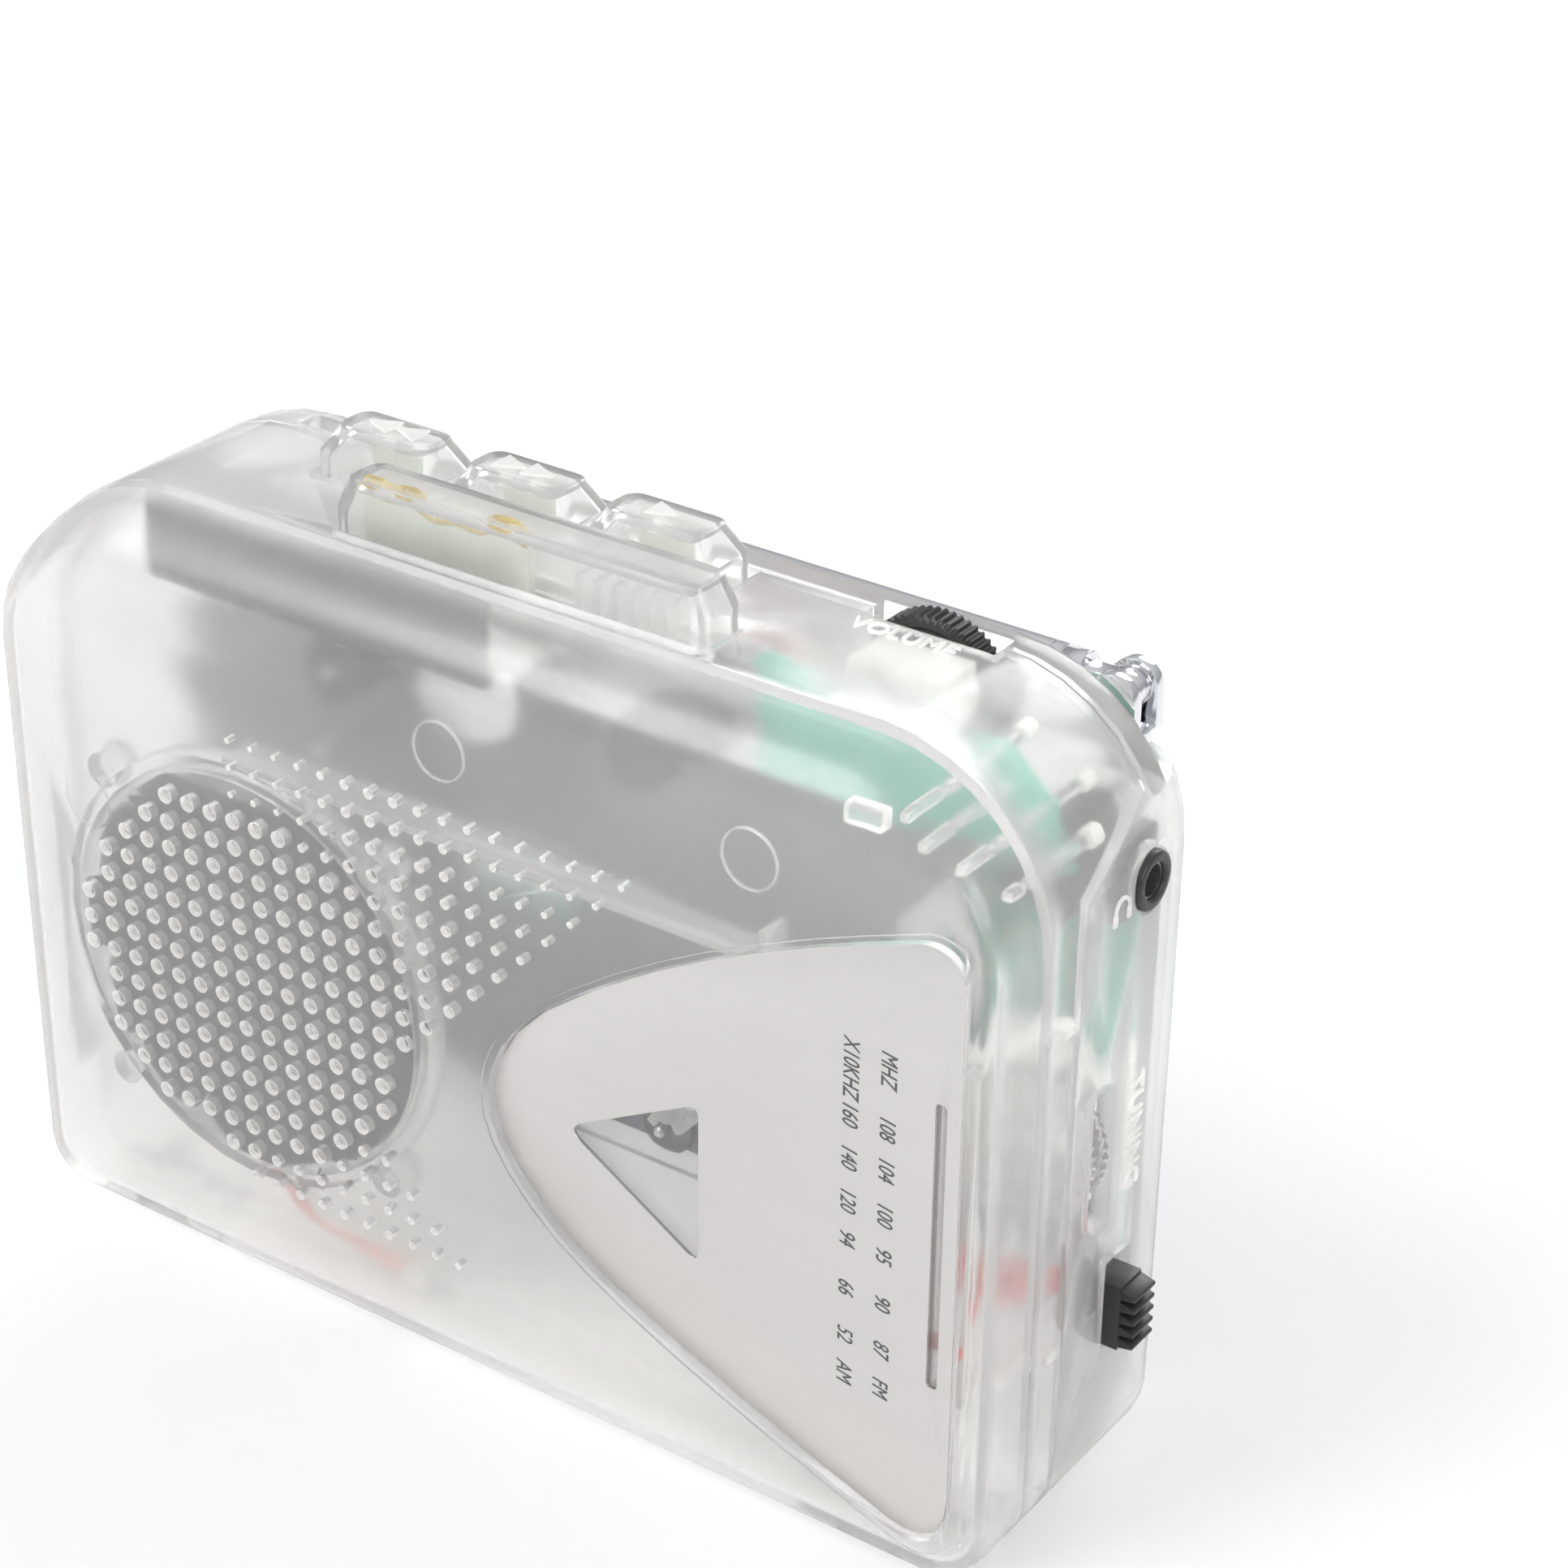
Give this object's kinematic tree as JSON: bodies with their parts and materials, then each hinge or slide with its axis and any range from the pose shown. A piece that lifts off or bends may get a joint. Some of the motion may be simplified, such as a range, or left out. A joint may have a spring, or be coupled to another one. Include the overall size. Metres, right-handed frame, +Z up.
{
  "type": "portable radio cassette player",
  "caption": "Clear-cased portable radio cassette player: hinged front door with loudspeaker and tuning dial, top transport keys, thumbwheels and a telescopic antenna.",
  "frame": {"origin": "middle of the flat underside, on the plane the player stands on", "axes": "+X along the long edge towards the end with the tuning wheel and headphone socket, +Y to the back, +Z up towards the keys"},
  "size_m": [0.1232, 0.0383, 0.0895],
  "materials": {
    "clear": "frosted translucent moulding",
    "plate": "brushed silver sheet",
    "steel": "satin plated steel",
    "deck": "dark grey coated sheet",
    "chrome": "polished chrome plate",
    "brass": "turned brass",
    "board": "green circuit board laminate",
    "black": "satin black moulding",
    "rubber": "matt rubber",
    "cone": "grey pressed paper",
    "ferrite": "sintered ferrite",
    "copper": "enamelled copper winding",
    "white": "off-white moulding",
    "red": "red moulding"
  },
  "bodies": {
    "case": {"middle_frame": "clear", "rear_shell": "clear", "hinge_pin_left": "steel", "hinge_pin_right": "steel", "battery_spring": "steel", "battery_contact": "steel", "case_screw_1": "steel", "case_screw_2": "steel", "case_screw_3": "steel", "case_screw_4": "steel", "key_bracket": "deck", "deck_chassis": "deck", "drive_motor": "steel", "drive_belt": "rubber", "main_board": "board", "tuner_board": "board", "ferrite_rod": "ferrite", "aerial_coil": "copper", "volume_control": "white", "tuning_capacitor": "white", "band_switch_body": "steel", "headphone_jack": "black", "power_inlet": "black"},
    "door": {"door_shell": "clear", "dial_plate": "plate", "speaker_basket": "steel", "speaker_cone": "cone", "speaker_magnet": "deck"},
    "battery_door": {"battery_door": "clear"},
    "stop_key": {"stop_key": "clear", "stop_key_lever": "steel"},
    "rewind_key": {"rewind_key": "clear", "rewind_key_lever": "steel"},
    "forward_key": {"forward_key": "clear", "forward_key_lever": "steel"},
    "play_key": {"play_key": "clear", "play_key_lever": "steel"},
    "head_carriage": {"head_plate": "steel", "tape_head": "chrome", "erase_head": "black"},
    "pinch_roller": {"pinch_roller": "rubber"},
    "takeup_reel": {"takeup_spindle": "white"},
    "supply_reel": {"supply_spindle": "white"},
    "flywheel": {"flywheel": "deck", "capstan": "chrome"},
    "motor_rotor": {"motor_pulley": "brass"},
    "volume_wheel": {"volume_wheel": "black"},
    "tuning_wheel": {"tuning_wheel": "clear"},
    "dial_pointer": {"dial_pointer": "red"},
    "band_switch_knob": {"band_switch_knob": "black"},
    "antenna_base": {"antenna_base": "chrome"},
    "antenna_tube_1": {"antenna_tube_1": "chrome"},
    "antenna_tube_2": {"antenna_tube_2": "chrome"},
    "antenna_tube_3": {"antenna_tube_3": "chrome"},
    "antenna_tube_4": {"antenna_tube_4": "chrome"},
    "antenna_rod": {"antenna_rod": "chrome"}
  },
  "joints": [
    {"name": "door_hinge", "type": "hinge", "parent": "case", "child": "door", "pos_m": [0, -0.01, 0.00115], "axis": [1, 0, 0], "range_deg": [0, 30]},
    {"name": "battery_door_hinge", "type": "hinge", "parent": "case", "child": "battery_door", "pos_m": [0.054, 0.019, 0.009], "axis": [0, 0, -1], "range_deg": [0, 70]},
    {"name": "stop_key_press", "type": "slide", "parent": "case", "child": "stop_key", "axis": [0, 0, -1], "range_m": [0, 0.0035], "stiffness_N_per_m": 250, "springref_m": -0.0012},
    {"name": "rewind_key_press", "type": "slide", "parent": "case", "child": "rewind_key", "axis": [0, 0, -1], "range_m": [0, 0.0035], "stiffness_N_per_m": 250, "springref_m": -0.0012},
    {"name": "forward_key_press", "type": "slide", "parent": "case", "child": "forward_key", "axis": [0, 0, -1], "range_m": [0, 0.0035], "stiffness_N_per_m": 250, "springref_m": -0.0012},
    {"name": "play_key_press", "type": "slide", "parent": "case", "child": "play_key", "axis": [0, 0, -1], "range_m": [0, 0.0035], "stiffness_N_per_m": 350, "springref_m": -0.0015},
    {"name": "head_slide", "type": "slide", "parent": "case", "child": "head_carriage", "axis": [0, 0, -1], "range_m": [0, 0.0035]},
    {"name": "pinch_roller_spin", "type": "hinge", "parent": "head_carriage", "child": "pinch_roller", "pos_m": [-0.024, -0.0034, 0.0679], "axis": [0, 1, 0], "continuous": true},
    {"name": "flywheel_spin", "type": "hinge", "parent": "case", "child": "flywheel", "pos_m": [-0.024, 0.008, 0.0595], "axis": [0, 1, 0], "continuous": true},
    {"name": "motor_spin", "type": "hinge", "parent": "case", "child": "motor_rotor", "pos_m": [0.014, 0.008, 0.052], "axis": [0, 1, 0], "continuous": true},
    {"name": "takeup_spin", "type": "hinge", "parent": "case", "child": "takeup_reel", "pos_m": [-0.02725, 0, 0.0319], "axis": [0, 1, 0], "continuous": true},
    {"name": "supply_spin", "type": "hinge", "parent": "case", "child": "supply_reel", "pos_m": [0.01525, 0, 0.0319], "axis": [0, 1, 0], "continuous": true},
    {"name": "volume_turn", "type": "hinge", "parent": "case", "child": "volume_wheel", "pos_m": [0.0357, 0.0083, 0.0777], "axis": [0, 1, 0], "range_deg": [0, 270]},
    {"name": "tuning_turn", "type": "hinge", "parent": "case", "child": "tuning_wheel", "pos_m": [0.0523, 0.0011, 0.039], "axis": [0, 1, 0], "range_deg": [-17, 153]},
    {"name": "pointer_slide", "type": "slide", "parent": "case", "child": "dial_pointer", "axis": [0, 0, 1], "range_m": [-0.00296, 0.0267]},
    {"name": "band_switch_slide", "type": "slide", "parent": "case", "child": "band_switch_knob", "axis": [0, 0, 1], "range_m": [0, 0.002]},
    {"name": "antenna_swivel", "type": "hinge", "parent": "case", "child": "antenna_base", "pos_m": [0.051, 0.0163, 0.0744], "axis": [0, 0, -1], "range_deg": [0, 180]},
    {"name": "antenna_tilt", "type": "hinge", "parent": "antenna_base", "child": "antenna_tube_1", "pos_m": [0.051, 0.0163, 0.0788], "axis": [0, 1, 0], "range_deg": [0, 90]},
    {"name": "antenna_slide_1", "type": "slide", "parent": "antenna_tube_1", "child": "antenna_tube_2", "axis": [-1, 0, 0], "range_m": [0, 0.058]},
    {"name": "antenna_slide_2", "type": "slide", "parent": "antenna_tube_2", "child": "antenna_tube_3", "axis": [-1, 0, 0], "range_m": [0, 0.058]},
    {"name": "antenna_slide_3", "type": "slide", "parent": "antenna_tube_3", "child": "antenna_tube_4", "axis": [-1, 0, 0], "range_m": [0, 0.058]},
    {"name": "antenna_slide_4", "type": "slide", "parent": "antenna_tube_4", "child": "antenna_rod", "axis": [-1, 0, 0], "range_m": [0, 0.058]}
  ],
  "couplings": [
    {"joint": "head_slide", "follows": "play_key_press", "ratio": 1},
    {"joint": "motor_spin", "follows": "flywheel_spin", "ratio": 4.1667},
    {"joint": "tuning_turn", "follows": "pointer_slide", "rad_per_m": 100}
  ]
}
